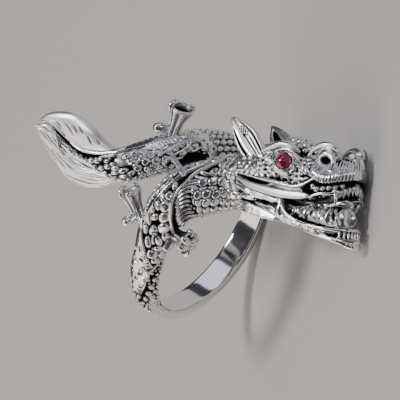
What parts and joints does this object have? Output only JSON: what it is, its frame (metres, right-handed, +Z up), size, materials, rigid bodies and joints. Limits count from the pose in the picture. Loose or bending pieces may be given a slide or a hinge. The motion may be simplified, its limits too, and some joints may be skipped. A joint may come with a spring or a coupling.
{
  "type": "dragon ring",
  "caption": "Finger ring cast as a coiled dragon with an open-mouthed head, scaled body, clawed paws, leaf-shaped tail and round ruby cabochon eyes.",
  "frame": {"origin": "middle of the box's footprint, on the surface that the ring lies on", "axes": "+Z up from the surface, +Y from the snout back towards the tail, +X towards the top of the dragon's head; the finger hole leans in this frame"},
  "size_m": [0.0238, 0.0384, 0.0277],
  "materials": {
    "silver": "rhodium-plated silver, mirror polished on the smooth band, with dark oxide in the grooves of the relief",
    "ruby": "polished round cabochon, deep red, slightly cloudy"
  },
  "bodies": {
    "root": {"dragon_casting": "silver", "ruby_eye_right": "ruby", "ruby_eye_left": "ruby"}
  },
  "joints": []
}
